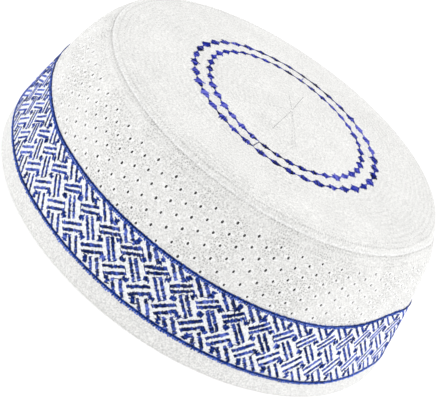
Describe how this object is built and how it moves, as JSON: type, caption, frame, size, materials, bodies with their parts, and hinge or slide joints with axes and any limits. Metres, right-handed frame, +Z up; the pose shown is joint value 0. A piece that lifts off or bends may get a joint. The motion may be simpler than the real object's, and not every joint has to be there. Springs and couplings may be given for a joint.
{
  "type": "kufi",
  "caption": "Round stiff cloth cap: open at the hem for the head, with a pierced side wall, an embroidered headband and a low domed crown.",
  "frame": {"origin": "middle of the hem's opening, on the plane that the cap rests on", "axes": "+Z up through the crown, -Y towards the front of the cap, +X to its right as seen from the front"},
  "size_m": [0.1812, 0.1922, 0.0687],
  "materials": {
    "white_cloth": "matte",
    "blue_thread": "satin"
  },
  "bodies": {
    "root": {"hem_fold": "white_cloth", "lower_border_line": "blue_thread", "embroidered_headband": "white_cloth", "upper_border_line": "blue_thread", "pierced_side_wall": "white_cloth", "crown_seam": "white_cloth", "crown_panel": "white_cloth", "outer_lozenge_ring": "blue_thread", "inner_lozenge_ring": "blue_thread"}
  },
  "joints": []
}
